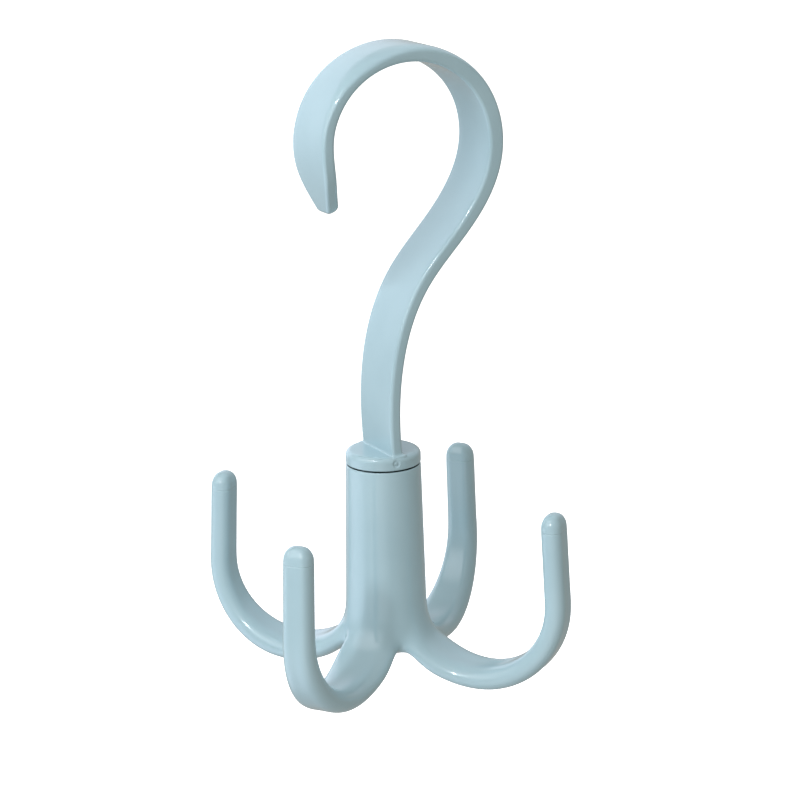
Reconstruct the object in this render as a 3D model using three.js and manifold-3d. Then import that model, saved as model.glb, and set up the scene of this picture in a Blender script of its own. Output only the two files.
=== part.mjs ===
// Rotating hanger: a flat band bent into an open hook swivels on a hub that carries four upturned claws.
// Lengths are millimetres and angles are degrees. The frame's origin is the seat under the top of the hook,
// +Z is up, and the claws point along X and Y.
import * as THREE from "three";
import { mergeVertices } from "three/addons/utils/BufferGeometryUtils.js";
import Module from "manifold-3d";

const wasm = await Module();
wasm.setup();

// Hub: a slightly tapered tube with a web under its top rim, open below.
const hubTop = 67.04;
const hubTopRadius = 11.46;
const hubFootRadius = 12.5;
const hubEdgeRound = 0.8;
const webThickness = 5;
const boreRadius = 4.5;
const coreTopRadius = 8.4;
const coreFootRadius = 8.8;
const coreFloor = 9;
const innerRound = 0.6;

// Claws: where each one leaves the hub, the arcs of its centre line and its sections.
const clawCount = 4;
const rootTop = 19.8;
const rootSwellShare = 1.03;
const shoulderSwellShare = 1.01;
const shoulderDropShare = 0.07;
const rootUnderRadius = 10.8;
const rootUnder = 7.6;
const crotchTopRadius = 13.3;
const crotchTop = 12.6;
const crotchUnderRadius = 11.9;
const crotchUnder = 9.9;
const clawLowRadius = 32.53;
const rootArcRadius = 30.01;
const rootArcTurn = 41;
const bendRadius = 24.67;
const bendTurn = 77.9;
const easeRadius = 27.43;
const clawLean = 2.9;
const clawStraight = 22.7;
const clawThickness = 6.92;
const clawThicknessShares = [[0, 0.898], [0.33, 1], [0.66, 0.928], [1, 0.912]];
const clawWidth = 18.1;
const clawWidthShares = [[0, 1], [0.33, 0.785], [0.66, 0.529], [1, 0.481]];
const clawLowShare = 0.33;

// Collar and spigot of the hook, and the turn of the hook's plane from the first claw.
const hookAzimuth = 54;
const runningGap = 0.4;
const collarRadius = hubTopRadius;
const collarHeight = 4.11;
const collarTopRound = 1.7;
const collarFootRound = 0.4;
const spigotRadius = 4.2;
const spigotChamfer = 0.5;
const gateRadius = 1.15;
const gateDepth = 0.35;
const gatePipRadius = 0.4;
const gatePipShare = 0.5;
const gateFloorShare = 0.7;
const gateTurn = -7;
const gateHeightShare = 0.52;

// Band of the hook: its length along the centre line, its start and its sections along that length.
const bandLength = 211;
const bandLean = 5.2;
const bandSinkDepth = 1.2;
const bandCorner = 1.1;
const bandCornerShares = [[0, 1], [0.76, 1], [0.9, 1.3], [1, 1.7]];
const bandCornerLimitShare = 0.9;
const bandFootFillet = 0.9;
const bandTipRound = 1.5;
const bandWidth = 21;
const bandWidthShares = [
  [0, 0.952],
  [0.2, 1],
  [0.4, 0.995],
  [0.62, 0.857],
  [0.76, 0.91],
  [0.87, 0.971],
  [0.94, 0.948],
  [1, 0.352],
];
const bandThickness = 5.2;
const bandThicknessShares = [[0, 0.7], [0.32, 0.738], [0.6, 1], [0.85, 0.758], [1, 0.837]];
// How far the band would turn over its whole length at the rate it has at each station.
const bandTurn = [
  [0, -71],
  [0.14, -145],
  [0.26, -268],
  [0.345, 74],
  [0.47, 435],
  [0.61, 442],
  [0.745, 394],
  [0.885, 513],
  [1, 20],
];

// Screw and washer that hold the web of the hub up under the collar.
const playBelow = 0.15;
const seatGap = 0.15;
const washerRadius = 6.9;
const washerThickness = 1;
const washerHoleRadius = 2.1;
const screwRadius = 1.7;
const screwCoreRadius = 1.35;
const screwLength = 9;
const screwPitch = 1.5;
const screwHeadRadius = 3.9;
const screwHeadHeight = 2.4;
const screwHeadRound = 1.4;
const recessReach = 2.3;
const recessWidth = 0.8;
const recessDepth = 1.3;
const pilotClearance = 0.2;

// Fineness of the faceted solids.
const hubSides = 16;
const clawLoops = 14;
const refinements = 1;
const settlePasses = 5;
const roundSegments = 48;
const bandStations = 60;
const pathSteps = 600;
const cornerSteps = 3;
const weldDistance = 1e-4;

const radians = THREE.MathUtils.degToRad;

// Shares of a claw's half width and half thickness that place the ten points of one of its sections.
const sectionShares = [
  [0.62, 0.97],
  [0, 1],
  [-0.62, 0.97],
  [-1, 0.42],
  [-1, -0.42],
  [-0.62, -0.97],
  [0, -1],
  [0.62, -0.97],
  [1, -0.42],
  [1, 0.42],
];
// Turns of the loops that round off a claw's tip. Its dome is an ellipse at a share of 1, and fuller below that.
const tipTurns = [26, 52, 76];
const tipHeight = 5.05;
const tipDomeShare = 0.87;

// Smooth value at a share of a length, through stations of [share, value].
function along(stations, share) {
  const last = stations.length - 1;
  let i = 0;
  while (i < last - 1 && share > stations[i + 1][0]) i++;
  const slope = (k) => {
    const a = stations[Math.max(k - 1, 0)];
    const b = stations[Math.min(k + 1, last)];
    return (b[1] - a[1]) / (b[0] - a[0]);
  };
  const [from, start] = stations[i];
  const [to, end] = stations[i + 1];
  const span = to - from;
  const t = (share - from) / span;
  const s = 1 - t;
  const startPart = s * s * (1 + 2 * t) * start + t * s * s * span * slope(i);
  const endPart = t * t * (1 + 2 * s) * end - s * t * t * span * slope(i + 1);
  return startPart + endPart;
}

// Straight-line value at a share, for rates that change evenly between stations.
function between(stations, share) {
  let i = 0;
  while (i < stations.length - 2 && share > stations[i + 1][0]) i++;
  const [from, start] = stations[i];
  const [to, end] = stations[i + 1];
  return THREE.MathUtils.lerp(start, end, (share - from) / (to - from));
}

// Solid for cutting and joining, made from a closed geometry.
function solid(geometry) {
  const bare = geometry.clone();
  bare.deleteAttribute("normal");
  bare.deleteAttribute("uv");
  const merged = mergeVertices(bare, weldDistance);
  return new wasm.Manifold(
    new wasm.Mesh({
      numProp: 3,
      vertProperties: merged.attributes.position.array,
      triVerts: new Uint32Array(merged.index.array),
    }),
  );
}

// Geometry from a flat list of coordinates and a list of corners, three to a face.
function indexed(positions, corners) {
  const geometry = new THREE.BufferGeometry();
  geometry.setAttribute("position", new THREE.Float32BufferAttribute(positions, 3));
  geometry.setIndex(corners);
  return geometry;
}

function geometryOf(made) {
  const mesh = made.getMesh();
  const geometry = indexed(mesh.vertProperties, Array.from(mesh.triVerts));
  geometry.computeVertexNormals();
  return geometry;
}

// Profile of [radius, height] pairs turned round the Z axis.
function turned(profile, segments = roundSegments) {
  const points = profile.map(([radius, height]) => new THREE.Vector2(radius, height));
  const geometry = new THREE.LatheGeometry(points, segments);
  return geometry.rotateX(Math.PI / 2);
}

// Points of a quarter round in a profile: centre, radius, first angle and last angle.
function quarter(radius, height, round, first, last, steps = cornerSteps) {
  const points = [];
  for (let i = 0; i <= steps; i++) {
    const angle = radians(THREE.MathUtils.lerp(first, last, i / steps));
    points.push([radius + round * Math.cos(angle), height + round * Math.sin(angle)]);
  }
  return points;
}

// Closed skin over a list of rings that all hold the same number of points.
function lofted(rings) {
  const count = rings[0].length;
  const index = [];
  for (let r = 0; r < rings.length - 1; r++) {
    for (let i = 0; i < count; i++) {
      const a = r * count + i;
      const b = r * count + ((i + 1) % count);
      index.push(a, b, b + count, a, b + count, a + count);
    }
  }
  const top = (rings.length - 1) * count;
  for (let i = 1; i < count - 1; i++) {
    index.push(0, i + 1, i);
    index.push(top, top + i, top + i + 1);
  }
  return indexed(rings.flat().flatMap((p) => [...p]), index);
}

// Claw body: a cage of quads over the hub and its claws, smoothed into one skin.
const cage = { points: [], settled: [], quads: [] };

function cagePoint(radius, azimuth, height, settled) {
  cage.points.push(new THREE.Vector3(radius * Math.cos(azimuth), radius * Math.sin(azimuth), height));
  cage.settled.push(settled);
  return cage.points.length - 1;
}

function skin(ringA, ringB) {
  ringA.forEach((a, i) => {
    const j = (i + 1) % ringA.length;
    cage.quads.push([a, ringA[j], ringB[j], ringB[i]]);
  });
}

// A guide ring lies outside the circle it makes by this factor.
const guideGrowth = 6 / (4 + 2 * Math.cos((2 * Math.PI) / hubSides));
const sideTurn = (2 * Math.PI) / hubSides;
const sidesPerClaw = hubSides / clawCount;

function guideRing(radius, height) {
  const ring = [];
  for (let i = 0; i < hubSides; i++) {
    ring.push(cagePoint(radius * guideGrowth, i * sideTurn, height, false));
  }
  return ring;
}

// Rows round the hub where the claws leave it: above the claws, and below them.
const rootRow = [];
const underRow = [];
for (let i = 0; i < hubSides; i++) {
  const place = i % sidesPerClaw;
  const azimuth = i * sideTurn;
  if (place === sidesPerClaw / 2) {
    rootRow.push(cagePoint(crotchTopRadius, azimuth, crotchTop, false));
    underRow.push(cagePoint(crotchUnderRadius, azimuth, crotchUnder, false));
  } else {
    const swell = place === 0 ? rootSwellShare : shoulderSwellShare;
    const height = place === 0 ? rootTop : THREE.MathUtils.lerp(rootTop, crotchTop, shoulderDropShare);
    rootRow.push(cagePoint(hubFootRadius * swell, azimuth, height, false));
    underRow.push(cagePoint(rootUnderRadius, azimuth, rootUnder, false));
  }
}

// Rings of the hub from the wall over the rim, down the bore, under the web and down the core.
const webUnder = hubTop - webThickness;
const wallShares = [0.16, 0.42, 0.68, 0.86, 0.95];
const wallRings = wallShares.map((share) => {
  const radius = THREE.MathUtils.lerp(hubFootRadius, hubTopRadius, share);
  return guideRing(radius, THREE.MathUtils.lerp(rootTop, hubTop, share));
});
const coreShares = [0.06, 0.2, 0.45, 0.7, 0.9];
const coreRings = coreShares.map((share) => {
  const radius = THREE.MathUtils.lerp(coreTopRadius, coreFootRadius, share);
  return guideRing(radius, THREE.MathUtils.lerp(webUnder, coreFloor, share));
});
const hubRings = [
  rootRow,
  ...wallRings,
  guideRing(hubTopRadius, hubTop - hubEdgeRound),
  guideRing(hubTopRadius, hubTop),
  guideRing(hubTopRadius - hubEdgeRound, hubTop),
  guideRing((hubTopRadius + boreRadius) / 2, hubTop),
  guideRing(boreRadius + innerRound, hubTop),
  guideRing(boreRadius, hubTop),
  guideRing(boreRadius, hubTop - innerRound),
  guideRing(boreRadius, (hubTop + webUnder) / 2),
  guideRing(boreRadius, webUnder + innerRound),
  guideRing(boreRadius, webUnder),
  guideRing(boreRadius + innerRound, webUnder),
  guideRing(coreTopRadius - innerRound, webUnder),
  guideRing(coreTopRadius, webUnder),
  ...coreRings,
  guideRing(coreFootRadius, coreFloor + innerRound),
  guideRing(coreFootRadius, coreFloor),
  guideRing(coreFootRadius + innerRound, coreFloor - innerRound),
  underRow,
];
hubRings.slice(1).forEach((ring, i) => skin(hubRings[i], ring));

// Centre line of a claw in its own plane, as radius, height and heading at a share of its length.
const clawArcs = [
  [rootArcRadius, rootArcTurn],
  [bendRadius, bendTurn],
  [easeRadius, 90 + clawLean - bendTurn],
];
const arcLengths = clawArcs.map(([radius, turn]) => radius * radians(turn));
const clawLength = arcLengths.reduce((sum, length) => sum + length, clawStraight);
const clawLow = (clawThickness * along(clawThicknessShares, clawLowShare)) / 2;

function clawPlace(share) {
  let radius = clawLowRadius - rootArcRadius * Math.sin(radians(rootArcTurn));
  let height = clawLow + rootArcRadius * (1 - Math.cos(radians(rootArcTurn)));
  let heading = -radians(rootArcTurn);
  let left = share * clawLength;
  clawArcs.forEach(([arcRadius], i) => {
    const step = Math.min(left, arcLengths[i]);
    const next = heading + step / arcRadius;
    radius += arcRadius * (Math.sin(next) - Math.sin(heading));
    height += arcRadius * (Math.cos(heading) - Math.cos(next));
    heading = next;
    left -= step;
  });
  return [radius + left * Math.cos(heading), height + left * Math.sin(heading), heading];
}

function clawLoop(turn, place, halfWidth, halfThickness, settled) {
  const [radius, height, heading] = place;
  return sectionShares.map(([side, up]) => {
    const out = radius - up * halfThickness * Math.sin(heading);
    const aside = side * halfWidth;
    const rise = height + up * halfThickness * Math.cos(heading);
    return cagePoint(Math.hypot(out, aside), turn + Math.atan2(aside, out), rise, settled);
  });
}

for (let claw = 0; claw < clawCount; claw++) {
  const middle = claw * sidesPerClaw;
  const at = (row, step) => row[(middle + step + hubSides) % hubSides];
  const turn = middle * sideTurn;
  let loop = [
    at(rootRow, 1),
    at(rootRow, 0),
    at(rootRow, -1),
    at(rootRow, -2),
    at(underRow, -2),
    at(underRow, -1),
    at(underRow, 0),
    at(underRow, 1),
    at(underRow, 2),
    at(rootRow, 2),
  ];
  const extend = (place, halfWidth, halfThickness, settled) => {
    const next = clawLoop(turn, place, halfWidth, halfThickness, settled);
    skin(loop, next);
    loop = next;
  };
  for (let i = 0; i < clawLoops; i++) {
    const share = i / (clawLoops - 1);
    const halfWidth = (clawWidth * along(clawWidthShares, share)) / 2;
    const halfThickness = (clawThickness * along(clawThicknessShares, share)) / 2;
    extend(clawPlace(share), halfWidth, halfThickness, i > 0);
  }
  const [endRadius, endHeight, endHeading] = clawPlace(1);
  const endWidth = (clawWidth * along(clawWidthShares, 1)) / 2;
  const endThickness = (clawThickness * along(clawThicknessShares, 1)) / 2;
  tipTurns.forEach((tipTurn, i) => {
    const rise = tipHeight * Math.sin(radians(tipTurn)) ** tipDomeShare;
    const shrink = Math.cos(radians(tipTurn)) ** tipDomeShare;
    const radius = endRadius + rise * Math.cos(endHeading);
    const height = endHeight + rise * Math.sin(endHeading);
    const settled = i < tipTurns.length - 1;
    extend([radius, height, endHeading], endWidth * shrink, endThickness * shrink, settled);
  });
  const [t1, t0, t2, c2, d2, b2, b0, b1, d1, c1] = loop;
  cage.quads.push([t1, t0, b0, b1], [t0, t2, b2, b0], [t2, c2, d2, b2], [c1, t1, b1, d1]);
}

// Smoothing: the rule that makes each finer cage, and where a cage's points end up on the smooth skin.
function neighbours(points, quads) {
  const around = points.map(() => ({ ends: new Set(), across: [], faces: [] }));
  quads.forEach((quad, f) => {
    quad.forEach((v, i) => {
      around[v].ends.add(quad[(i + 1) % 4]).add(quad[(i + 3) % 4]);
      around[v].across.push(quad[(i + 2) % 4]);
      around[v].faces.push(f);
    });
  });
  return around;
}

function onSkin(points, around) {
  return points.map((point, v) => {
    const { ends, across } = around[v];
    const n = across.length;
    const sum = point.clone().multiplyScalar(n * n);
    ends.forEach((e) => sum.addScaledVector(points[e], 4));
    across.forEach((a) => sum.add(points[a]));
    return sum.divideScalar(n * (n + 5));
  });
}

function refine(points, quads) {
  const around = neighbours(points, quads);
  const middle = (list) => {
    const sum = list.reduce((total, v) => total.add(v), new THREE.Vector3());
    return sum.divideScalar(list.length);
  };
  const facePoints = quads.map((quad) => middle(quad.map((v) => points[v])));
  const edges = new Map();
  quads.forEach((quad, f) => {
    quad.forEach((v, i) => {
      const w = quad[(i + 1) % 4];
      const key = Math.min(v, w) + "-" + Math.max(v, w);
      if (!edges.has(key)) edges.set(key, { ends: [v, w], faces: [] });
      edges.get(key).faces.push(f);
    });
  });
  const finer = points.map((point, v) => {
    const { ends, faces } = around[v];
    const n = faces.length;
    const faceMean = middle(faces.map((f) => facePoints[f]));
    const edgeMean = middle([...ends].map((e) => middle([point, points[e]])));
    return point
      .clone()
      .multiplyScalar(n - 3)
      .add(faceMean)
      .addScaledVector(edgeMean, 2)
      .divideScalar(n);
  });
  for (const edge of edges.values()) {
    edge.index = finer.length;
    finer.push(middle([...edge.ends.map((e) => points[e]), ...edge.faces.map((f) => facePoints[f])]));
  }
  const finerQuads = [];
  quads.forEach((quad, f) => {
    const centre = finer.length;
    finer.push(facePoints[f]);
    quad.forEach((v, i) => {
      const next = quad[(i + 1) % 4];
      const last = quad[(i + 3) % 4];
      const ahead = edges.get(Math.min(v, next) + "-" + Math.max(v, next)).index;
      const behind = edges.get(Math.min(v, last) + "-" + Math.max(v, last)).index;
      finerQuads.push([v, ahead, centre, behind]);
    });
  });
  return [finer, finerQuads];
}

function smoothed() {
  const wanted = cage.points;
  const around = neighbours(wanted, cage.quads);
  let points = wanted.map((p) => p.clone());
  for (let pass = 0; pass < settlePasses; pass++) {
    const reached = onSkin(points, around);
    points = points.map((p, v) => (cage.settled[v] ? p.clone().add(wanted[v]).sub(reached[v]) : p));
  }
  let quads = cage.quads;
  for (let i = 0; i < refinements; i++) [points, quads] = refine(points, quads);
  points = onSkin(points, neighbours(points, quads));
  return indexed(points.flatMap((p) => [...p]), quads.flatMap(([a, b, c, d]) => [a, b, c, a, c, d]));
}

// Hook: the collar turned with its spigot and screw hole, and the band lofted along its bent centre line.
const collarFoot = hubTop + runningGap;
const collarTop = collarFoot + collarHeight;
const spigotEnd = webUnder - playBelow;
const washerTop = spigotEnd - seatGap;
const washerFoot = washerTop - washerThickness;
const headTop = washerFoot - seatGap;
const pilotRadius = screwRadius + pilotClearance;
const pilotTop = headTop + screwLength + pilotClearance + pilotRadius;

const collar = turned([
  [0, pilotTop],
  [pilotRadius, pilotTop - pilotRadius],
  [pilotRadius, spigotEnd],
  [spigotRadius - spigotChamfer, spigotEnd],
  [spigotRadius, spigotEnd + spigotChamfer],
  [spigotRadius, collarFoot],
  ...quarter(collarRadius - collarFootRound, collarFoot + collarFootRound, collarFootRound, -90, 0),
  ...quarter(collarRadius - collarTopRound, collarTop - collarTopRound, collarTopRound, 0, 90),
  [0, collarTop],
]);

// Centre line of the band: its heading turns at a rate that changes evenly between the stations.
function bandPath() {
  const step = bandLength / pathSteps;
  let heading = 90 + bandLean;
  let out = 0;
  let height = collarTop - bandSinkDepth;
  const path = [{ out, height, heading: radians(heading) }];
  for (let i = 0; i < pathSteps; i++) {
    const turn = between(bandTurn, (i + 0.5) / pathSteps) / pathSteps;
    const middle = radians(heading + turn / 2);
    out += step * Math.cos(middle);
    height += step * Math.sin(middle);
    heading += turn;
    path.push({ out, height, heading: radians(heading) });
  }
  return path;
}

const band = bandPath();

function bandPlace(share) {
  const at = share * pathSteps;
  const i = Math.min(Math.floor(at), pathSteps - 1);
  const mix = (name) => THREE.MathUtils.lerp(band[i][name], band[i + 1][name], at - i);
  return { out: mix("out"), height: mix("height"), heading: mix("heading") };
}

// Rounded rectangle across the band, in the hook's own plane frame: x outward, y across, z up.
function bandRing(share, grow) {
  const { out, height, heading } = bandPlace(share);
  const halfWidth = (bandWidth * along(bandWidthShares, share)) / 2 + grow;
  const halfThickness = (bandThickness * along(bandThicknessShares, share)) / 2 + grow;
  const softened = bandCorner * along(bandCornerShares, share);
  const corner = Math.min(softened, halfThickness * bandCornerLimitShare);
  const ring = [];
  for (const [first, side, face] of [[0, 1, 1], [90, -1, 1], [180, -1, -1], [270, 1, -1]]) {
    for (let i = 0; i <= cornerSteps; i++) {
      const angle = radians(first + (90 * i) / cornerSteps);
      const across = face * (halfWidth - corner) + corner * Math.sin(angle);
      const through = side * (halfThickness - corner) + corner * Math.cos(angle);
      ring.push(
        new THREE.Vector3(out + through * Math.sin(heading), across, height - through * Math.cos(heading)),
      );
    }
  }
  return ring;
}

function hookBand() {
  const rings = [bandRing(0, bandFootFillet)];
  const footShare = bandSinkDepth / bandLength;
  for (let i = 0; i <= cornerSteps; i++) {
    const angle = radians((90 * i) / cornerSteps);
    const rise = bandFootFillet * (1 - Math.cos(angle));
    const grow = bandFootFillet * (1 - Math.sin(angle));
    rings.push(bandRing(footShare + rise / bandLength, grow));
  }
  const first = footShare + bandFootFillet / bandLength;
  const last = 1 - bandTipRound / bandLength;
  for (let i = 1; i < bandStations; i++) {
    rings.push(bandRing(THREE.MathUtils.lerp(first, last, i / bandStations), 0));
  }
  for (let i = 0; i <= cornerSteps; i++) {
    const angle = radians((90 * i) / cornerSteps);
    const reach = bandTipRound * Math.sin(angle);
    rings.push(bandRing(last + reach / bandLength, bandTipRound * (Math.cos(angle) - 1)));
  }
  return lofted(rings);
}

// Gate mark: a shallow round dimple with a low pip, on the collar's wall under the band's front edge.
function gateMark() {
  const mouth = gateDepth + collarRadius - Math.sqrt(collarRadius ** 2 - gateRadius ** 2);
  const dimple = turned(
    [
      [0, gateDepth * gatePipShare],
      [gatePipRadius, gateDepth * gatePipShare],
      [gatePipRadius, 0],
      [gateRadius * gateFloorShare, 0],
      [gateRadius, gateDepth],
      [gateRadius, mouth + gateDepth],
      [0, mouth + gateDepth],
    ],
    roundSegments / 2,
  );
  const middle = collarFoot + collarHeight * gateHeightShare;
  dimple.rotateY(Math.PI / 2);
  dimple.translate(collarRadius - gateDepth, 0, middle);
  return dimple.rotateZ(radians(gateTurn - 90));
}

const hookSolid = solid(hookBand()).add(solid(collar)).subtract(solid(gateMark()));

// Washer and pan-head screw under the web.
const washer = turned([
  [washerHoleRadius, washerFoot],
  [washerRadius, washerFoot],
  [washerRadius, washerTop],
  [washerHoleRadius, washerTop],
  [washerHoleRadius, washerFoot],
]);

function pivotScrew() {
  const headFoot = headTop - screwHeadHeight;
  const tip = headTop + screwLength;
  const turns = Math.floor(screwLength / screwPitch) - 1;
  const profile = [
    [0, headFoot],
    ...quarter(screwHeadRadius - screwHeadRound, headFoot + screwHeadRound, screwHeadRound, -90, 0),
    [screwHeadRadius, headTop],
    [screwCoreRadius, headTop],
  ];
  for (let i = 0; i < turns; i++) {
    const low = tip - screwPitch * (turns - i);
    profile.push([screwCoreRadius, low], [screwRadius, low + screwPitch / 2]);
  }
  profile.push([screwCoreRadius, tip], [0, tip]);
  let made = solid(turned(profile, roundSegments / 2));
  for (const turn of [0, Math.PI / 2]) {
    const slot = new THREE.BoxGeometry(2 * recessReach, recessWidth, 2 * recessDepth);
    made = made.subtract(solid(slot.translate(0, 0, headFoot).rotateZ(turn)));
  }
  return geometryOf(made);
}

// The seat on a rail: where the swivel axis meets the band's inner face under the top of the hook.
function railSeat() {
  const inner = band.map(({ out, height, heading }, i) => {
    const half = (bandThickness * along(bandThicknessShares, i / pathSteps)) / 2;
    return [out - half * Math.sin(heading), height + half * Math.cos(heading)];
  });
  const crown = inner.reduce((best, point, i) => (point[1] > inner[best][1] ? i : best), 0);
  let i = crown;
  while (inner[i][0] > 0) i++;
  const share = inner[i - 1][0] / (inner[i - 1][0] - inner[i][0]);
  return THREE.MathUtils.lerp(inner[i - 1][1], inner[i][1], share);
}

const plastic = new THREE.MeshStandardMaterial({ color: 0xa9c6cd, roughness: 0.28, metalness: 0 });
const steel = new THREE.MeshStandardMaterial({ color: 0xb9bcbe, roughness: 0.35, metalness: 1 });

const hanger = new THREE.Group();
hanger.name = "rotating_hanger";
hanger.position.z = -railSeat();

function place(name, geometry, material, turn = 0) {
  const mesh = new THREE.Mesh(geometry, material);
  mesh.name = name;
  mesh.rotation.z = radians(turn);
  hanger.add(mesh);
}

place("claw_body", smoothed(), plastic);
place("swivel_hook", geometryOf(hookSolid), plastic, hookAzimuth);
place("steel_washer", washer, steel, hookAzimuth);
place("pivot_screw", pivotScrew(), steel, hookAzimuth);

export default hanger;
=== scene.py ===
import math

import bpy
from mathutils import Matrix, Vector


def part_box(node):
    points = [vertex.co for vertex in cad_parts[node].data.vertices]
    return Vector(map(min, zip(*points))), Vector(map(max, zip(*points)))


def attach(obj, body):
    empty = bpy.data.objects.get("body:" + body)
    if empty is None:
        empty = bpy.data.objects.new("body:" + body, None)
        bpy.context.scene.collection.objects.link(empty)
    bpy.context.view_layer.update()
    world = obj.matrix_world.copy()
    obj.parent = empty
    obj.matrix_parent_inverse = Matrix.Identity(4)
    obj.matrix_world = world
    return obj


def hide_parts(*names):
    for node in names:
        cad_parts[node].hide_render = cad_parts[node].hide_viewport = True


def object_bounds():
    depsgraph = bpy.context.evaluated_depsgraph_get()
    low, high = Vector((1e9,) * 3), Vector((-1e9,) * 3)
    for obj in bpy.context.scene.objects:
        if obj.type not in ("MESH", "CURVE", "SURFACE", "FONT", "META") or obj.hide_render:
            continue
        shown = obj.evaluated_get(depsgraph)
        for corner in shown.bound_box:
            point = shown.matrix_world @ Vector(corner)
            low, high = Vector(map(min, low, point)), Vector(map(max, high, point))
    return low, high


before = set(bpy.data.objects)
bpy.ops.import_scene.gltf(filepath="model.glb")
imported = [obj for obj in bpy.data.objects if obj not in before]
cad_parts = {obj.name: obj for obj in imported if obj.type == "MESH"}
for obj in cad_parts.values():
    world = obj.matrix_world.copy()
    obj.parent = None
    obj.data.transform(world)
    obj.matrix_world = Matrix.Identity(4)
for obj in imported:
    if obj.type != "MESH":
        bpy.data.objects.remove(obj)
cad_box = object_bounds()
scene = bpy.context.scene

MM = 0.001

# Claw body: sizes shared with the solid.
HUB_TOP, HUB_TOP_R, HUB_FOOT_R, HUB_EDGE = 67.04, 11.46, 12.5, 0.8
WEB, BORE_R, CORE_TOP_R, CORE_FOOT_R, CORE_FLOOR, INNER_ROUND = 5.0, 4.5, 8.4, 8.8, 9.0, 0.6
HUB_RING_SHARES, CORE_RING_SHARES = (0.16, 0.42, 0.68, 0.86, 0.95), (0.06, 0.2, 0.45, 0.7, 0.9)
ROOT_TOP, ROOT_SWELL, SHOULDER_SWELL, SHOULDER_DROP = 19.8, 1.03, 1.01, 0.07
ROOT_UNDER_R, ROOT_UNDER = 10.8, 7.6
CROTCH_TOP_R, CROTCH_TOP, CROTCH_UNDER_R, CROTCH_UNDER = 13.3, 12.6, 11.9, 9.9
CLAW_LOW_R, ROOT_ARC_R, ROOT_ARC_TURN = 32.53, 30.01, 41.0
BEND_R, BEND_TURN, EASE_R, CLAW_LEAN, CLAW_STRAIGHT = 24.67, 77.9, 27.43, 2.9, 22.7
CLAW_THICKNESS, CLAW_THICKNESS_SHARES = 6.92, [(0, 0.898), (0.33, 1), (0.66, 0.928), (1, 0.912)]
CLAW_WIDTH, CLAW_WIDTH_SHARES = 18.1, [(0, 1), (0.33, 0.785), (0.66, 0.529), (1, 0.481)]
CLAW_LOW_SHARE = 0.33
# A claw's section, as shares of its half width and half thickness.
SECTION_SHARES = [
    (0.62, 0.97), (0, 1), (-0.62, 0.97), (-1, 0.42), (-1, -0.42),
    (-0.62, -0.97), (0, -1), (0.62, -0.97), (1, -0.42), (1, 0.42),
]
TIP_TURNS, TIP_HEIGHT, TIP_DOME_SHARE = (26, 52, 76), 5.05, 0.87
SIDES, CLAWS, CLAW_LOOPS, SETTLE_PASSES = 16, 4, 14, 5

# Collar with its spigot and the mark of the gate: sizes shared with the solid.
HOOK_AZIMUTH, RUNNING_GAP = 54.0, 0.4
COLLAR_H, COLLAR_TOP_ROUND, COLLAR_FOOT_ROUND = 4.11, 1.7, 0.4
SPIGOT_R, SPIGOT_CHAMFER, PLAY_BELOW = 4.2, 0.5, 0.15
GATE_R, GATE_DEPTH, GATE_PIP_R, GATE_PIP, GATE_TURN, GATE_SHARE = 1.15, 0.35, 0.4, 0.175, -7.0, 0.52
# How far the slopes of the dimple and of its pip reach, and how wide they are, as shares of their radii.
DIMPLE_RIM_SHARE, DIMPLE_SLOPE_SHARE, PIP_RIM_SHARE, PIP_SLOPE_SHARE = 1.2, 0.5, 1.4, 0.8
# Only in this skin: a bevel at the spigot's root, points that keep the faces beside the collar's rounds flat,
# and the radius of the lids at the axis.
SPIGOT_BEVEL_H, SPIGOT_BEVEL_W, FOOT_HOLD, TOP_HOLD, LID_R = 0.05, 0.1, 0.4, 0.5, 0.02

# Band: sizes shared with the solid.
BAND_LENGTH, BAND_LEAN, BAND_SUNK = 211.0, 5.2, 1.2
BAND_FOOT_FILLET, BAND_TIP_ROUND = 0.9, 1.5
BAND_CORNER, BAND_CORNER_SHARES, BAND_CORNER_LIMIT_SHARE = 1.1, [(0, 1), (0.76, 1), (0.9, 1.3), (1, 1.7)], 0.9
BAND_WIDTH = 21.0
BAND_WIDTH_SHARES = [
    (0, 0.952), (0.2, 1), (0.4, 0.995), (0.62, 0.857), (0.76, 0.91), (0.87, 0.971), (0.94, 0.948), (1, 0.352),
]
BAND_THICKNESS = 5.2
BAND_THICKNESS_SHARES = [(0, 0.7), (0.32, 0.738), (0.6, 1), (0.85, 0.758), (1, 0.837)]
# How fast the band turns at a share of its length, in degrees for the whole length.
BAND_TURN = [
    (0, -71), (0.14, -145), (0.26, -268), (0.345, 74), (0.47, 435),
    (0.61, 442), (0.745, 394), (0.885, 513), (1, 20),
]
# The band's outer corner on the side of the face that shows: its rounding across and through the band.
EASE_ACROSS = 7.0
EASE_ACROSS_SHARES = [
    (0, 0.157), (0.56, 0.157), (0.7, 0.8), (0.77, 1), (0.83, 0.5), (0.88, 0.22), (1, 0.2),
]
EASE_THROUGH = 2.4
EASE_THROUGH_SHARES = [
    (0, 0.458), (0.56, 0.458), (0.7, 0.85), (0.77, 1), (0.83, 0.6), (0.88, 0.42), (1, 0.36),
]

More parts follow.
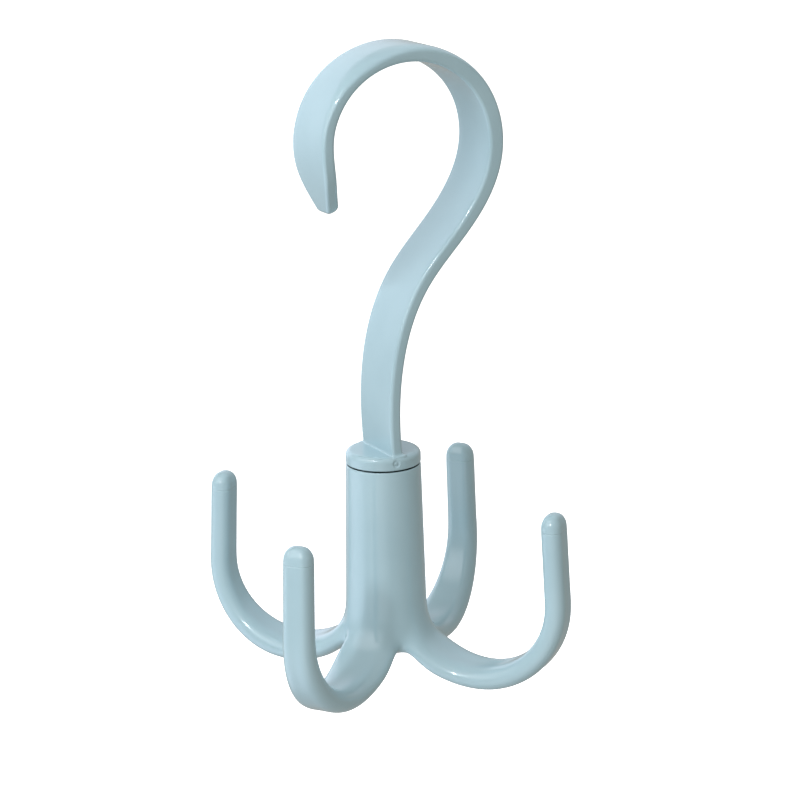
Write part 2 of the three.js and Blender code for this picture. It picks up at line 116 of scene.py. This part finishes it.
# Fineness of the skins.
PATH_STEPS, STATIONS, END_STEPS = 600, 260, 8
CORNER_STEPS, FACE_STEPS, EDGE_STEPS = 9, 6, 2
FOOT_ROUND_STEPS, TOP_ROUND_STEPS = 6, 10
WALL_ROWS, SEGMENTS, SKIN_LEVELS = ((26, 480, 3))

# Looks. A texture is its noise's scale per metre, detail and roughness, and a span is the part that counts.
CLOUD, SMEAR, WAVE, GRAIN, PATCH = (38, 3, 0.5), (160, 4, 0.6), (90, 2, 0.5), (1400, 3, 0.5), (300, 4, 0.5)
CLOUD_SPAN, SMEAR_SPAN, PATCH_SPAN, WHOLE = (0.35, 0.65), (0.3, 0.7), (0.3, 0.7), (0, 1)
PLASTIC_LIGHT, PLASTIC_DEEP = (0.431, 0.607, 0.666, 1), (0.401, 0.574, 0.634, 1)
PLASTIC_ROUGHNESS, PLASTIC_IOR, COAT, COAT_ROUGHNESS = (0.1, 0.15), 1.5, 0.2, 0.12
WAVE_SHARE, GRAIN_SHARE, SKIN_STRENGTH, SKIN_DEPTH = 0.3, 0.05, 0.12, 0.6
SEAM_SHADE, SEAM_FADE = 0.12, 0.1
RING_DROP, RING_WIDTH, RING_CLEAR, RING_STRENGTH, RING_DEPTH = 5.3, 0.3, 25.0, 0.9, 0.11
STEEL_DULL, STEEL_BRIGHT, STEEL_ROUGHNESS = (0.5, 0.51, 0.53, 1), (0.62, 0.62, 0.62, 1), (0.28, 0.45)
TURNING_SCALE, TURNING_DISTORTION, TURNING_STRENGTH, TURNING_DEPTH = 900, 1.5, 0.15, 0.1


def lerp(a, b, t):
    return a + (b - a) * t


# Smooth step: 0 up to a share of 0, and 1 from a share of 1.
def eased(share):
    t = min(max(share, 0), 1)
    return t * t * (3 - 2 * t)


# Smooth value at a share of a length, through stations of (share, value).
def along(stations, share):
    last = len(stations) - 1
    i = 0
    while i < last - 1 and share > stations[i + 1][0]:
        i += 1

    def slope(k):
        a, b = stations[max(k - 1, 0)], stations[min(k + 1, last)]
        return (b[1] - a[1]) / (b[0] - a[0])

    (low, start), (high, end) = stations[i], stations[i + 1]
    span = high - low
    t = (share - low) / span
    s = 1 - t
    first = s * s * (1 + 2 * t) * start + t * s * s * span * slope(i)
    return first + t * t * (1 + 2 * s) * end - s * t * t * span * slope(i + 1)


# Half of a length that varies along the piece, given as shares of that length.
def half_of(length, shares, share):
    return length * along(shares, share) / 2


# Straight-line value at a share.
def between(stations, share):
    i = 0
    while i < len(stations) - 2 and share > stations[i + 1][0]:
        i += 1
    (low, start), (high, end) = stations[i], stations[i + 1]
    return lerp(start, end, (share - low) / (high - low))


# Centre line of the band in the hook's plane, as (out, height, heading) from the claws' lowest level.
def band_path():
    step = BAND_LENGTH / PATH_STEPS
    heading = 90 + BAND_LEAN
    out = 0.0
    height = HUB_TOP + RUNNING_GAP + COLLAR_H - BAND_SUNK
    path = [(out, height, math.radians(heading))]
    for i in range(PATH_STEPS):
        turn = between(BAND_TURN, (i + 0.5) / PATH_STEPS) / PATH_STEPS
        middle = math.radians(heading + turn / 2)
        out += step * math.cos(middle)
        height += step * math.sin(middle)
        heading += turn
        path.append((out, height, math.radians(heading)))
    return path


BAND = band_path()


# Height of the rail's seat above the claws' lowest level: the frame's origin.
def rail_seat():
    inner = []
    for i, (out, height, heading) in enumerate(BAND):
        half = half_of(BAND_THICKNESS, BAND_THICKNESS_SHARES, i / PATH_STEPS)
        inner.append((out - half * math.sin(heading), height + half * math.cos(heading)))
    i = max(range(len(inner)), key=lambda k: inner[k][1])
    while inner[i][0] > 0:
        i += 1
    share = inner[i - 1][0] / (inner[i - 1][0] - inner[i][0])
    return lerp(inner[i - 1][1], inner[i][1], share)


SEAT = rail_seat()


# A height above the claws' lowest level, in the frame's metres.
def in_frame(height):
    return (height - SEAT) * MM


def new_object(name, points, faces, material):
    mesh = bpy.data.meshes.new(name)
    mesh.from_pydata([Vector((x * MM, y * MM, in_frame(z))) for x, y, z in points], [], faces)
    mesh.polygons.foreach_set("use_smooth", [True] * len(mesh.polygons))
    mesh.update()
    obj = bpy.data.objects.new(name, mesh)
    scene.collection.objects.link(obj)
    mesh.materials.append(material)
    return obj


# A closed piece whose skin runs from ring to ring, with a lid on the first and on the last.
def new_tube(name, rings, material):
    count = len(rings[0])
    faces = []
    for first in range(0, (len(rings) - 1) * count, count):
        for i in range(count):
            j = (i + 1) % count
            faces.append((first + i, first + j, first + count + j, first + count + i))
    last = (len(rings) - 1) * count
    faces.append(tuple(range(count - 1, -1, -1)))
    faces.append(tuple(range(last, last + count)))
    return new_object(name, [point for ring in rings for point in ring], faces, material)


# A tree of shader nodes. What goes into a node is a plain value or the output of another node.
class Tree:
    def __init__(self, node_tree):
        self.nodes, self.links = node_tree.nodes, node_tree.links

    def feed(self, socket, source):
        if isinstance(source, bpy.types.NodeSocket):
            self.links.new(source, socket)
        else:
            socket.default_value = source

    def node(self, kind, **sources):
        node = self.nodes.new(kind)
        for socket, source in sources.items():
            self.feed(node.inputs[socket], source)
        return node

    def noise(self, coords, texture):
        scale, detail, roughness = texture
        node = self.node("ShaderNodeTexNoise", Vector=coords, Scale=scale, Detail=detail, Roughness=roughness)
        return node.outputs["Fac"]

    def ranged(self, value, span, to_span, interpolation="LINEAR"):
        node = self.node("ShaderNodeMapRange", Value=value)
        node.interpolation_type = interpolation
        for socket, number in zip(("From Min", "From Max", "To Min", "To Max"), (*span, *to_span)):
            self.feed(node.inputs[socket], number)
        return node.outputs["Result"]

    def maths(self, kind, *values):
        node = self.node("ShaderNodeMath")
        node.operation = kind
        for socket, value in zip(node.inputs, values):
            self.feed(socket, value)
        return node.outputs["Value"]

    def mixed(self, factor, low, high):
        node = self.node("ShaderNodeMix")
        node.data_type = "RGBA"
        for socket, source in (("Factor", factor), ("A", low), ("B", high)):
            self.feed(node.inputs[socket], source)
        return node.outputs["Result"]

    def bump(self, height, strength, depth, over=None):
        node = self.node("ShaderNodeBump", Height=height, Strength=strength, Distance=depth * MM)
        if over is not None:
            self.feed(node.inputs["Normal"], over)
        return node.outputs["Normal"]


def shader(name):
    material = bpy.data.materials.new(name)
    material.use_nodes = True
    return material, Tree(material.node_tree), material.node_tree.nodes["Principled BSDF"].inputs


# Moulded plastic: a faint cloudiness in colour, a polished skin with the last of the mould's texture,
# painted shade in the seam between collar and hub, and on the claws a hair line below each tip.
def plastic(name, ring_height=None):
    material, tree, surface = shader(name)
    coords = tree.node("ShaderNodeTexCoord").outputs["Object"]
    x, y, z = tree.node("ShaderNodeSeparateXYZ", Vector=coords).outputs

    cloud = tree.ranged(tree.noise(coords, CLOUD), CLOUD_SPAN, WHOLE)
    colour = tree.mixed(cloud, PLASTIC_LIGHT, PLASTIC_DEEP)
    # Painted shade: across the running gap's height the colour darkens to a small share of the deep tone,
    # fading out above and below, where the seam lies in shade.
    seam_shade = (*(SEAM_SHADE * value for value in PLASTIC_DEEP[:3]), 1)
    seam = in_frame(HUB_TOP + RUNNING_GAP / 2)
    from_seam = tree.maths("ABSOLUTE", tree.maths("SUBTRACT", z, seam))
    edges = (RUNNING_GAP / 2 * MM, (RUNNING_GAP / 2 + SEAM_FADE) * MM)
    colour = tree.mixed(tree.ranged(from_seam, edges, WHOLE), seam_shade, colour)
    tree.feed(surface["Base Color"], colour)

    smear = tree.ranged(tree.noise(coords, SMEAR), SMEAR_SPAN, PLASTIC_ROUGHNESS)
    tree.feed(surface["Roughness"], smear)
    tree.feed(surface["IOR"], PLASTIC_IOR)
    tree.feed(surface["Coat Weight"], COAT)
    tree.feed(surface["Coat Roughness"], COAT_ROUGHNESS)

    waves = tree.maths("MULTIPLY", tree.noise(coords, WAVE), WAVE_SHARE)
    grain = tree.maths("MULTIPLY", tree.noise(coords, GRAIN), GRAIN_SHARE)
    normal = tree.bump(tree.maths("ADD", waves, grain), SKIN_STRENGTH, SKIN_DEPTH)
    if ring_height is not None:
        from_ring = tree.maths("ABSOLUTE", tree.maths("SUBTRACT", z, ring_height))
        level = tree.ranged(from_ring, (0, RING_WIDTH * MM), WHOLE)
        # The hub stands within the clear radius: the ring belongs to the claws alone.
        squares = (tree.maths("MULTIPLY", x, x), tree.maths("MULTIPLY", y, y))
        radius = tree.maths("SQRT", tree.maths("ADD", *squares))
        hub = tree.maths("LESS_THAN", radius, RING_CLEAR * MM)
        groove = tree.maths("MAXIMUM", level, hub)
        normal = tree.bump(groove, RING_STRENGTH, RING_DEPTH, normal)
    tree.feed(surface["Normal"], normal)
    return material


# Zinc-plated steel: turned marks round the axis and dull patches.
def steel(name):
    material, tree, surface = shader(name)
    coords = tree.node("ShaderNodeTexCoord").outputs["Object"]
    patch = tree.noise(coords, PATCH)
    tree.feed(surface["Base Color"], tree.mixed(patch, STEEL_DULL, STEEL_BRIGHT))
    tree.feed(surface["Metallic"], 1)
    tree.feed(surface["Roughness"], tree.ranged(patch, PATCH_SPAN, STEEL_ROUGHNESS))
    turning = tree.node("ShaderNodeTexWave", Vector=coords, Scale=TURNING_SCALE)
    tree.feed(turning.inputs["Distortion"], TURNING_DISTORTION)
    turning.wave_type = "RINGS"
    turning.rings_direction = "Z"
    tree.feed(surface["Normal"], tree.bump(turning.outputs["Fac"], TURNING_STRENGTH, TURNING_DEPTH))
    return material


# Claw body: the solids' own cage of quads, smoothed further.
class Cage:
    def __init__(self):
        self.points, self.settled, self.quads = [], [], []

    def point(self, radius, azimuth, height, settled):
        self.points.append(Vector((radius * math.cos(azimuth), radius * math.sin(azimuth), height)))
        self.settled.append(settled)
        return len(self.points) - 1

    def skin(self, ring_a, ring_b):
        for i, a in enumerate(ring_a):
            j = (i + 1) % len(ring_a)
            self.quads.append((a, ring_a[j], ring_b[j], ring_b[i]))

    # Moves the settled points so that the smooth skin passes through the places first given for them.
    # A point's place on the skin is the mean that Catmull and Clark's rule gives.
    def settle(self):
        ends = [set() for _ in self.points]
        across = [[] for _ in self.points]
        for quad in self.quads:
            for i, v in enumerate(quad):
                ends[v].update((quad[(i + 1) % 4], quad[(i + 3) % 4]))
                across[v].append(quad[(i + 2) % 4])
        wanted = self.points
        points = [p.copy() for p in wanted]
        for _ in range(SETTLE_PASSES):
            reached = []
            for v, point in enumerate(points):
                n = len(across[v])
                total = point * (n * n)
                for e in ends[v]:
                    total += points[e] * 4
                for a in across[v]:
                    total += points[a]
                reached.append(total / (n * (n + 5)))
            points = [
                p + wanted[v] - reached[v] if self.settled[v] else p
                for v, p in enumerate(points)
            ]
        self.points = points


def claw_cage():
    cage = Cage()
    side = 2 * math.pi / SIDES
    # Smoothing draws a ring inwards, the more so the fewer its sides, so its guide is drawn wider.
    growth = 6 / (4 + 2 * math.cos(side))
    per_claw = SIDES // CLAWS

    def guide(radius, height):
        return [cage.point(radius * growth, i * side, height, False) for i in range(SIDES)]

    root, under = [], []
    for i in range(SIDES):
        place = i % per_claw
        if place == per_claw // 2:
            root.append(cage.point(CROTCH_TOP_R, i * side, CROTCH_TOP, False))
            under.append(cage.point(CROTCH_UNDER_R, i * side, CROTCH_UNDER, False))
        else:
            swell = SHOULDER_SWELL if place else ROOT_SWELL
            height = lerp(ROOT_TOP, CROTCH_TOP, SHOULDER_DROP) if place else ROOT_TOP
            root.append(cage.point(HUB_FOOT_R * swell, i * side, height, False))
            under.append(cage.point(ROOT_UNDER_R, i * side, ROOT_UNDER, False))
    web_under = HUB_TOP - WEB
    rings = [root]
    for share in HUB_RING_SHARES:
        rings.append(guide(lerp(HUB_FOOT_R, HUB_TOP_R, share), lerp(ROOT_TOP, HUB_TOP, share)))
    rings += [
        guide(HUB_TOP_R, HUB_TOP - HUB_EDGE),
        guide(HUB_TOP_R, HUB_TOP),
        guide(HUB_TOP_R - HUB_EDGE, HUB_TOP),
        guide((HUB_TOP_R + BORE_R) / 2, HUB_TOP),
        guide(BORE_R + INNER_ROUND, HUB_TOP),
        guide(BORE_R, HUB_TOP),
        guide(BORE_R, HUB_TOP - INNER_ROUND),
        guide(BORE_R, (HUB_TOP + web_under) / 2),
        guide(BORE_R, web_under + INNER_ROUND),
        guide(BORE_R, web_under),
        guide(BORE_R + INNER_ROUND, web_under),
        guide(CORE_TOP_R - INNER_ROUND, web_under),
        guide(CORE_TOP_R, web_under),
    ]
    for share in CORE_RING_SHARES:
        rings.append(guide(lerp(CORE_TOP_R, CORE_FOOT_R, share), lerp(web_under, CORE_FLOOR, share)))
    rings += [
        guide(CORE_FOOT_R, CORE_FLOOR + INNER_ROUND),
        guide(CORE_FOOT_R, CORE_FLOOR),
        guide(CORE_FOOT_R + INNER_ROUND, CORE_FLOOR - INNER_ROUND),
        under,
    ]
    for a, b in zip(rings, rings[1:]):
        cage.skin(a, b)

    arcs = ((ROOT_ARC_R, ROOT_ARC_TURN), (BEND_R, BEND_TURN), (EASE_R, 90 + CLAW_LEAN - BEND_TURN))
    lengths = [radius * math.radians(turn) for radius, turn in arcs]
    claw_length = sum(lengths) + CLAW_STRAIGHT
    low = half_of(CLAW_THICKNESS, CLAW_THICKNESS_SHARES, CLAW_LOW_SHARE)

    def claw_place(share):
        start = math.radians(ROOT_ARC_TURN)
        radius = CLAW_LOW_R - ROOT_ARC_R * math.sin(start)
        height = low + ROOT_ARC_R * (1 - math.cos(start))
        heading = -start
        left = share * claw_length
        for (arc_radius, _), length in zip(arcs, lengths):
            step = min(left, length)
            after = heading + step / arc_radius
            radius += arc_radius * (math.sin(after) - math.sin(heading))
            height += arc_radius * (math.cos(heading) - math.cos(after))
            heading = after
            left -= step
        return radius + left * math.cos(heading), height + left * math.sin(heading), heading

    # Carries a claw's skin on from its last loop to a section at a place along the claw.
    def extend(loop, claw_azimuth, place, half_width, half_thickness, settled):
        radius, height, heading = place
        ring = []
        for aside, up in SECTION_SHARES:
            out = radius - up * half_thickness * math.sin(heading)
            y = aside * half_width
            azimuth = claw_azimuth + math.atan2(y, out)
            rise = height + up * half_thickness * math.cos(heading)
            ring.append(cage.point(math.hypot(out, y), azimuth, rise, settled))
        cage.skin(loop, ring)
        return ring

    for claw in range(CLAWS):
        middle = claw * per_claw
        claw_azimuth = middle * side
        loop = [root[(middle + s) % SIDES] for s in (1, 0, -1, -2)]
        loop += [under[(middle + s) % SIDES] for s in (-2, -1, 0, 1, 2)]
        loop.append(root[(middle + 2) % SIDES])
        for i in range(CLAW_LOOPS):
            share = i / (CLAW_LOOPS - 1)
            half_width = half_of(CLAW_WIDTH, CLAW_WIDTH_SHARES, share)
            half_thickness = half_of(CLAW_THICKNESS, CLAW_THICKNESS_SHARES, share)
            loop = extend(loop, claw_azimuth, claw_place(share), half_width, half_thickness, i > 0)
        radius, height, heading = claw_place(1)
        for turn in TIP_TURNS:
            rise = TIP_HEIGHT * math.sin(math.radians(turn)) ** TIP_DOME_SHARE
            shrink = math.cos(math.radians(turn)) ** TIP_DOME_SHARE
            place = (radius + rise * math.cos(heading), height + rise * math.sin(heading), heading)
            settled = turn != TIP_TURNS[-1]
            loop = extend(loop, claw_azimuth, place, half_width * shrink, half_thickness * shrink, settled)
        t1, t0, t2, c2, d2, b2, b0, b1, d1, c1 = loop
        cage.quads += [(t1, t0, b0, b1), (t0, t2, b2, b0), (t2, c2, d2, b2), (c1, t1, b1, d1)]
    cage.settle()
    return cage


# Gives a piece its finished skin as a mesh, drawn back by hundredths to the box that the solid has.
def seat_in_box(piece, box):
    skin = bpy.data.meshes.new_from_object(piece.evaluated_get(bpy.context.evaluated_depsgraph_get()))
    piece.modifiers.clear()
    piece.data = skin
    spans = []
    for axis in range(3):
        places = [v.co[axis] for v in skin.vertices]
        spans.append((min(places), max(places)))
    for v in skin.vertices:
        v.co = [
            lerp(box[0][k], box[1][k], (v.co[k] - low) / (high - low))
            for k, (low, high) in enumerate(spans)
        ]


# Section of the band at a share of its length: a rounded rectangle, whose flat faces hold extra points.
def band_ring(share, grow):
    at = min(max(share, 0), 1) * PATH_STEPS
    i = min(int(at), PATH_STEPS - 1)
    out, height, heading = (lerp(a, b, at - i) for a, b in zip(BAND[i], BAND[i + 1]))
    half_width = half_of(BAND_WIDTH, BAND_WIDTH_SHARES, share) + grow
    half_thickness = half_of(BAND_THICKNESS, BAND_THICKNESS_SHARES, share) + grow
    corner = min(BAND_CORNER * along(BAND_CORNER_SHARES, share), half_thickness * BAND_CORNER_LIMIT_SHARE)
    ease_across = min(EASE_ACROSS * along(EASE_ACROSS_SHARES, share), half_width)
    ease_through = min(EASE_THROUGH * along(EASE_THROUGH_SHARES, share), 2 * half_thickness - corner)
    # Four rounded corners; after each one an edge or a face is cut into its own number of steps.
    corners = (
        (0, 1, 1, EDGE_STEPS, corner, corner),
        (90, 1, -1, FACE_STEPS, corner, corner),
        (180, -1, -1, EDGE_STEPS, corner, corner),
        (270, -1, 1, FACE_STEPS, ease_across, ease_through),
    )
    rounded = []
    for first, face, side, steps, wide, thick in corners:
        for k in range(CORNER_STEPS + 1):
            angle = math.radians(first + 90 * k / CORNER_STEPS)
            across = face * (half_width - wide) + wide * math.sin(angle)
            rounded.append((across, side * (half_thickness - thick) + thick * math.cos(angle), steps))
    section = []
    for k, (across, through, steps) in enumerate(rounded):
        section.append((across, through))
        if k % (CORNER_STEPS + 1) == CORNER_STEPS:
            to_across, to_through, _ = rounded[(k + 1) % len(rounded)]
            for step in range(1, steps):
                t = step / steps
                section.append((lerp(across, to_across, t), lerp(through, to_through, t)))
    plane = math.radians(HOOK_AZIMUTH)
    ring = []
    for across, through in section:
        x = out + through * math.sin(heading)
        ring.append((
            x * math.cos(plane) - across * math.sin(plane),
            x * math.sin(plane) + across * math.cos(plane),
            height - through * math.cos(heading),
        ))
    return ring


# Band: its foot flares into the collar and its tip is rounded over.
def hook_band(material):
    rings = [band_ring(0, BAND_FOOT_FILLET)]
    quarter = [math.radians(90 * i / END_STEPS) for i in range(END_STEPS + 1)]
    foot = BAND_SUNK / BAND_LENGTH
    for angle in quarter:
        rise = BAND_FOOT_FILLET * (1 - math.cos(angle))
        rings.append(band_ring(foot + rise / BAND_LENGTH, BAND_FOOT_FILLET * (1 - math.sin(angle))))
    first = foot + BAND_FOOT_FILLET / BAND_LENGTH
    last = 1 - BAND_TIP_ROUND / BAND_LENGTH
    for i in range(1, STATIONS):
        rings.append(band_ring(lerp(first, last, i / STATIONS), 0))
    for angle in quarter:
        share = last + BAND_TIP_ROUND * math.sin(angle) / BAND_LENGTH
        rings.append(band_ring(share, BAND_TIP_ROUND * (math.cos(angle) - 1)))
    return new_tube("hook_band", rings, material)


# Collar: a turned ring with the gate's dimple and pip pressed into its wall, and its spigot below.
def hook_collar(material):
    foot = HUB_TOP + RUNNING_GAP
    top = foot + COLLAR_H
    spigot_end = HUB_TOP - WEB - PLAY_BELOW
    radius = HUB_TOP_R
    wall_low, wall_high = foot + COLLAR_FOOT_ROUND, top - COLLAR_TOP_ROUND

    def arc(r, z, round_r, first, last, steps):
        angles = [math.radians(lerp(first, last, i / steps)) for i in range(steps + 1)]
        return [(r + round_r * math.cos(angle), z + round_r * math.sin(angle)) for angle in angles]

    profile = [
        (LID_R, spigot_end),
        (SPIGOT_R - SPIGOT_CHAMFER, spigot_end),
        (SPIGOT_R, spigot_end + SPIGOT_CHAMFER),
        (SPIGOT_R, foot - SPIGOT_BEVEL_H),
        (SPIGOT_R + SPIGOT_BEVEL_W, foot),
        (radius - COLLAR_FOOT_ROUND - FOOT_HOLD, foot),
        *arc(radius - COLLAR_FOOT_ROUND, wall_low, COLLAR_FOOT_ROUND, -90, 0, FOOT_ROUND_STEPS),
        *[(radius, lerp(wall_low, wall_high, i / WALL_ROWS)) for i in range(1, WALL_ROWS)],
        *arc(radius - COLLAR_TOP_ROUND, wall_high, COLLAR_TOP_ROUND, 0, 90, TOP_ROUND_STEPS),
        (radius - COLLAR_TOP_ROUND - TOP_HOLD, top),
        (radius / 2, top),
        (LID_R, top),
    ]
    middle = foot + COLLAR_H * GATE_SHARE
    gate = math.radians(HOOK_AZIMUTH + GATE_TURN - 90)
    rings = []
    for r, z in profile:
        ring = []
        for k in range(SEGMENTS):
            azimuth = 2 * math.pi * k / SEGMENTS
            turn = (azimuth - gate + math.pi) % (2 * math.pi) - math.pi
            away = math.hypot(turn * radius, z - middle)
            at = r
            if r > radius - COLLAR_TOP_ROUND / 2 and away < GATE_R * DIMPLE_RIM_SHARE:
                dimple = eased((GATE_R * DIMPLE_RIM_SHARE - away) / (GATE_R * DIMPLE_SLOPE_SHARE))
                pip = eased((GATE_PIP_R * PIP_RIM_SHARE - away) / (GATE_PIP_R * PIP_SLOPE_SHARE))
                at += GATE_PIP * pip - GATE_DEPTH * dimple
            ring.append((at * math.cos(azimuth), at * math.sin(azimuth), z))
        rings.append(ring)
    return new_tube("hook_collar", rings, material)


cage = claw_cage()
tip_top = max(z for x, y, z in cage.points if math.hypot(x, y) > RING_CLEAR)
claw_plastic = plastic("claw_plastic", in_frame(tip_top - RING_DROP))
claws = new_object("claws_skin", [tuple(p) for p in cage.points], cage.quads, claw_plastic)
smooth = claws.modifiers.new("skin", "SUBSURF")
smooth.levels = smooth.render_levels = SKIN_LEVELS
seat_in_box(claws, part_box("claw_body"))
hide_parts("claw_body")
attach(claws, "claws")

hook_plastic = plastic("hook_plastic")
hook_pieces = (hook_band(hook_plastic), hook_collar(hook_plastic))
hook_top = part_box("swivel_hook")[1][2]
for piece in hook_pieces:
    for vertex in piece.data.vertices:
        vertex.co.z = min(vertex.co.z, hook_top)
    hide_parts("swivel_hook")
    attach(piece, "hook")

plated = steel("plated_steel")
for name in ("steel_washer", "pivot_screw"):
    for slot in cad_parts[name].material_slots:
        slot.material = plated

# Camera: its place round the hanger, and in pixels the point of the photo where the axis meets the claws'
# lowest level.
CAM_AZIMUTH, CAM_ELEVATION, CAM_ROLL = 26.409, 15.064, 1.224
CAM_DISTANCE, PIXELS_PER_MM, AIM_HEIGHT = 791.957, 3.316, 95.0
FOOT_PIXEL_X, FOOT_PIXEL_Y, FRAME_PIXELS = 387.69, 668.47, 800
SENSOR = 36.0

# Lights, in metres. A panel's glow falls away between two distances from its middle, which are shares of its
# sides, and then has this mean.
LIGHT_DISTANCE, PANEL, LONG_STRIP, SHORT_STRIP = 0.95, (1.4, 1.4), (0.6, 0.06), (0.07, 0.18)
GLOW_MIDDLE, GLOW_SPAN, GLOW_MEAN = (0.5, 0.5, 0), (0.2, 0.5), 0.4
NEUTRAL, COOL, WARM = (0.99, 1, 1.05), (0.86, 0.96, 1.18), (1.03, 1.01, 0.95)
# Name, turn, elevation, size, watts and colour: broad panels all round, and a strip for the glints of each
# moulding.
LIGHTS = (
    ("key", -60, 35, PANEL, 3.1, NEUTRAL),
    ("front", -30, 35, PANEL, 1.6, NEUTRAL),
    ("low_left", -90, -35, PANEL, 2.4, COOL),
    ("low_front", -20, -35, PANEL, 1.5, NEUTRAL),
    ("back_left", -150, 10, PANEL, 2.4, COOL),
    ("back_right", 150, 35, PANEL, 1.0, COOL),
    ("overhead", 0, 90, PANEL, 0.7, NEUTRAL),
    ("strip_for_hook", -42, 48, LONG_STRIP, 2.0, NEUTRAL),
    ("strip_for_claws", -30, 28, SHORT_STRIP, 1.9, NEUTRAL),
)
SURROUND = 0.4

# Floor and how far the camera sees, in metres.
FLOOR_HALF, FLOOR_DROP, CAM_REACH = 8.0, 0.25, 50
FLOOR_COLOUR, FLOOR_ROUGHNESS, FLOOR_GLOW, FLOOR_GLOW_STRENGTH = (0.9, 0.9, 0.9, 1), 0.9, (1, 1, 1, 1), 1.0

aim = Vector((0, 0, in_frame(AIM_HEIGHT)))


# A place around the hanger: its turn to the right of the camera's side, its elevation and its distance.
def around(turn, elevation, distance):
    azimuth, lift = math.radians(CAM_AZIMUTH - 90 + turn), math.radians(elevation)
    flat = math.cos(lift)
    return aim + Vector((flat * math.cos(azimuth), flat * math.sin(azimuth), math.sin(lift))) * distance


# A panel light whose glow falls away towards its edges, as a softbox does, so that no reflection has a
# hard side.
def emitter(name, place, size, power, colour):
    light = bpy.data.lights.new(name, "AREA")
    light.shape = "RECTANGLE"
    light.size, light.size_y = size
    light.energy = power / GLOW_MEAN
    light.color = colour
    light.use_nodes = True
    tree = Tree(light.node_tree)
    from_middle = tree.node("ShaderNodeVectorMath")
    from_middle.operation = "DISTANCE"
    tree.feed(from_middle.inputs[0], tree.node("ShaderNodeNewGeometry").outputs["Parametric"])
    tree.feed(from_middle.inputs[1], GLOW_MIDDLE)
    glow = tree.ranged(from_middle.outputs["Value"], GLOW_SPAN, (1, 0), "SMOOTHSTEP")
    tree.feed(tree.nodes["Emission"].inputs["Strength"], glow)
    obj = bpy.data.objects.new(name, light)
    obj.location = place
    obj.rotation_euler = (aim - place).to_track_quat("-Z", "Y").to_euler()
    scene.collection.objects.link(obj)
    return obj


studio = {}
for name, turn, elevation, size, watts, colour in LIGHTS:
    studio[name] = emitter(name, around(turn, elevation, LIGHT_DISTANCE), size, watts, colour)
# Each strip is flagged off from the other moulding, as a studio does with cards.
for name, pieces in (("strip_for_hook", hook_pieces), ("strip_for_claws", (claws,))):
    lit = bpy.data.collections.new(name)
    for piece in pieces:
        lit.objects.link(piece)
    studio[name].light_linking.receiver_collection = lit

world = bpy.data.worlds.new("surround")
world.use_nodes = True
surround = world.node_tree.nodes["Background"].inputs
surround["Color"].default_value = (*WARM, 1)
surround["Strength"].default_value = SURROUND
scene.world = world

# Floor: a white ground for the camera alone, since what lights the hanger from below is the surround.
floor_mesh = bpy.data.meshes.new("floor")
level = cad_box[0][2] - FLOOR_DROP
sides = ((-1, -1), (1, -1), (1, 1), (-1, 1))
floor_mesh.from_pydata([(x * FLOOR_HALF, y * FLOOR_HALF, level) for x, y in sides], [], [(0, 1, 2, 3)])
floor = bpy.data.objects.new("floor", floor_mesh)
scene.collection.objects.link(floor)
floor_white, tree, surface = shader("floor_white")
tree.feed(surface["Base Color"], FLOOR_COLOUR)
tree.feed(surface["Roughness"], FLOOR_ROUGHNESS)
tree.feed(surface["Emission Color"], FLOOR_GLOW)
tree.feed(surface["Emission Strength"], FLOOR_GLOW_STRENGTH)
floor_mesh.materials.append(floor_white)
floor.visible_diffuse = False
floor.visible_glossy = False

tilt, azimuth = math.radians(CAM_ELEVATION), math.radians(CAM_AZIMUTH)
back = Vector((math.sin(azimuth) * math.cos(tilt), -math.cos(azimuth) * math.cos(tilt), math.sin(tilt)))
place = aim + back * CAM_DISTANCE * MM
rolled = Matrix.Rotation(-math.radians(CAM_ROLL), 3, "Z")
turned = back.to_track_quat("Z", "Y").to_matrix() @ rolled
camera_data = bpy.data.cameras.new("camera")
camera = bpy.data.objects.new("camera", camera_data)
scene.collection.objects.link(camera)
camera.matrix_world = Matrix.Translation(place) @ turned.to_4x4()
focal_pixels = PIXELS_PER_MM * CAM_DISTANCE
camera_data.sensor_width = SENSOR
camera_data.lens = focal_pixels * SENSOR / FRAME_PIXELS
# The frame is shifted from where the foot of the axis falls by itself to where the photo has it.
foot = Vector((0, 0, in_frame(0))) - place
depth = -foot.dot(back)
foot_x, foot_y = (focal_pixels * foot.dot(turned.col[axis]) / depth for axis in (0, 1))
camera_data.shift_x = -(FOOT_PIXEL_X - foot_x - FRAME_PIXELS / 2) / FRAME_PIXELS
camera_data.shift_y = (FOOT_PIXEL_Y + foot_y - FRAME_PIXELS / 2) / FRAME_PIXELS
camera_data.clip_end = CAM_REACH
scene.camera = camera

scene.view_settings.view_transform = "Standard"
scene.view_settings.look = "None"
